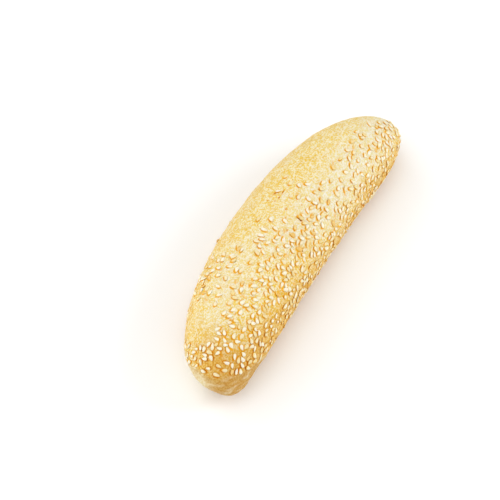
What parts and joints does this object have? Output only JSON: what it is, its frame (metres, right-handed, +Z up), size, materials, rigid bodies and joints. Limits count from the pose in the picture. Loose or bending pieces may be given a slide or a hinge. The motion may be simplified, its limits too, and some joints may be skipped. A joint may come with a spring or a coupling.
{
  "type": "sesame long roll",
  "caption": "Soft long bread roll with a thin golden crust, rounded ends, a flat underside and a gentle bow, scattered with sesame seeds.",
  "frame": {"origin": "on the table, under the middle of the roll's length and width", "axes": "+X along the roll to its slimmer end, +Y to the side it bows out to, +Z up"},
  "size_m": [0.19, 0.0526, 0.0422],
  "materials": {
    "crust": "thin soft-baked crust, satin where golden and matte where pale",
    "sesame": "ivory hulled seed, satin, a few toasted golden brown"
  },
  "bodies": {
    "root": {"loaf": "crust"}
  },
  "joints": []
}
